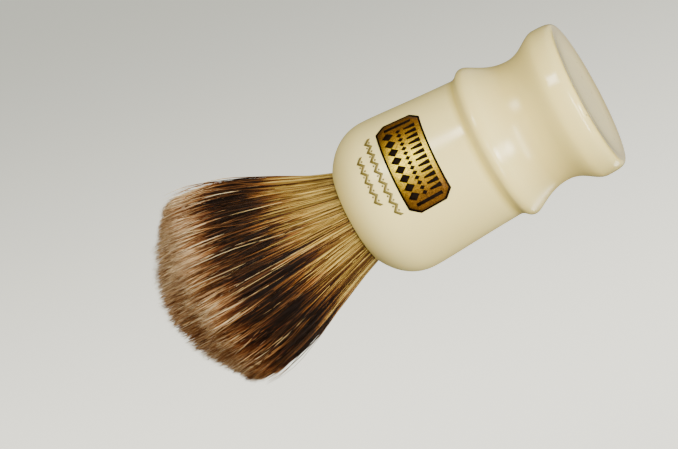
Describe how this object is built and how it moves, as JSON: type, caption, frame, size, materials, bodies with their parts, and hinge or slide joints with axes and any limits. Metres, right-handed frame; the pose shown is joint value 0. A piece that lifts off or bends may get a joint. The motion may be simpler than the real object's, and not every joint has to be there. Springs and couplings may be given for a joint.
{
  "type": "shaving brush",
  "caption": "Shaving brush with a turned, waisted ivory resin handle, a gold foil label and a flared, domed fan of banded hair set in a blind socket.",
  "frame": {"origin": "centre of the foot's underside, in the plane of the flat ring that the brush stands on", "axes": "+Z along the brush's axis towards the hair; -Y through the face that carries the foil label, whose middle is 18 degrees from -Y towards +X"},
  "size_m": [0.0404, 0.0404, 0.098],
  "materials": {
    "ivory_resin": "polished cream resin",
    "adhesive": "cured amber adhesive",
    "root_resin": "hair roots set in resin",
    "binding_thread": "wound cotton thread",
    "hair": "natural hair, golden at the root, dark brown in the middle, cream at the tips",
    "gold_foil": "printed gold foil"
  },
  "bodies": {
    "root": {"handle": "ivory_resin", "adhesive_bed": "adhesive", "knot_plug": "root_resin", "binding_cord": "binding_thread", "hair_core": "hair", "hair_lock_01": "hair", "hair_lock_02": "hair", "hair_lock_03": "hair", "hair_lock_04": "hair", "hair_lock_05": "hair", "hair_lock_06": "hair", "hair_lock_07": "hair", "hair_lock_08": "hair", "hair_lock_09": "hair", "hair_lock_10": "hair", "hair_lock_11": "hair", "hair_lock_12": "hair", "foil_label": "gold_foil", "zigzag_rule_long": "gold_foil", "zigzag_rule_short": "gold_foil"}
  },
  "joints": []
}
